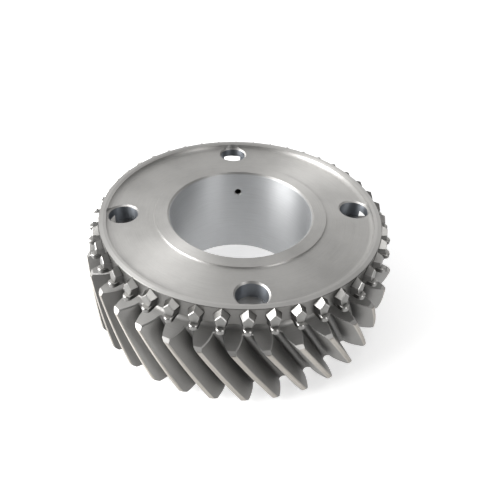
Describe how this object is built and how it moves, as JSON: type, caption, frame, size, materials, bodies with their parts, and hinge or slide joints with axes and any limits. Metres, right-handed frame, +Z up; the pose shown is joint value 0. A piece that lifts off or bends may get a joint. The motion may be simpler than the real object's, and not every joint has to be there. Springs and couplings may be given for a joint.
{
  "type": "helical transmission gear with clutch teeth",
  "caption": "Steel helical gear with a ring of pointed clutch teeth, round pockets in its web and a central bearing bore.",
  "frame": {"origin": "centre of the bore at the lower thrust face, which the gear rests on", "axes": "+Z up the bore, from the helical teeth towards the clutch teeth"},
  "size_m": [0.136, 0.136, 0.048],
  "materials": {
    "gear_steel": "case-hardened alloy steel, turned faces and ground tooth flanks"
  },
  "bodies": {
    "root": {"helical_gear": "gear_steel"}
  },
  "joints": []
}
